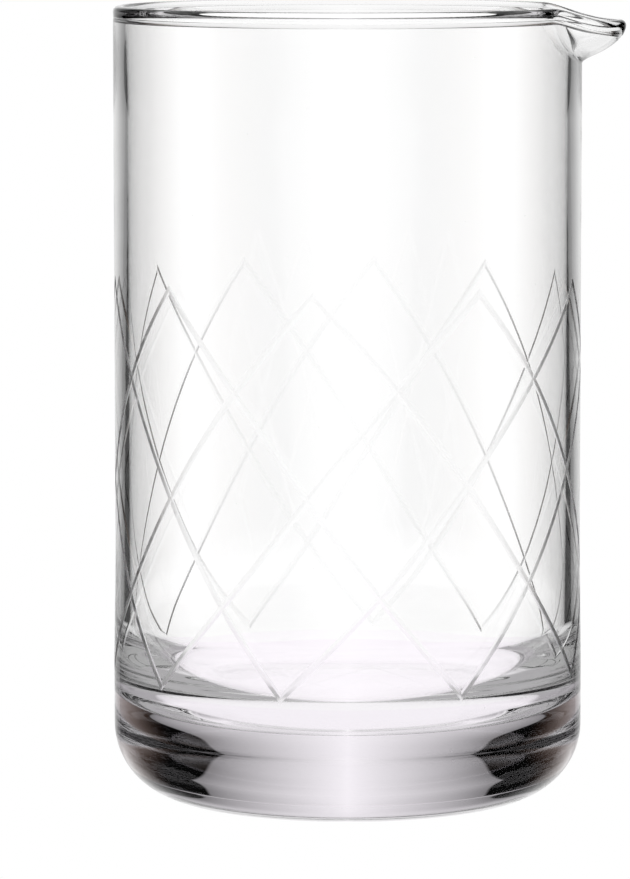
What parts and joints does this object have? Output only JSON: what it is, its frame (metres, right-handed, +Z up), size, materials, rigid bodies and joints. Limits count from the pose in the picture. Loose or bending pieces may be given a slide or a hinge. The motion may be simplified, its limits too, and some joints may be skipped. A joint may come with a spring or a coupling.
{
  "type": "mixing glass",
  "caption": "Straight-sided stirring glass with a heavy foot, cut diamond lattice and a pulled pouring spout in the rim.",
  "frame": {"origin": "centre of the flat foot face", "axes": "+Z up along the bore axis; +X towards the pouring spout"},
  "size_m": [0.1028, 0.0942, 0.1588],
  "materials": {
    "wall_glass": "clear, fire-polished, with bright-cut grooves",
    "base_glass": "clear, thick, with a faint cool tint"
  },
  "bodies": {
    "root": {"base": "base_glass", "wall": "wall_glass"}
  },
  "joints": []
}
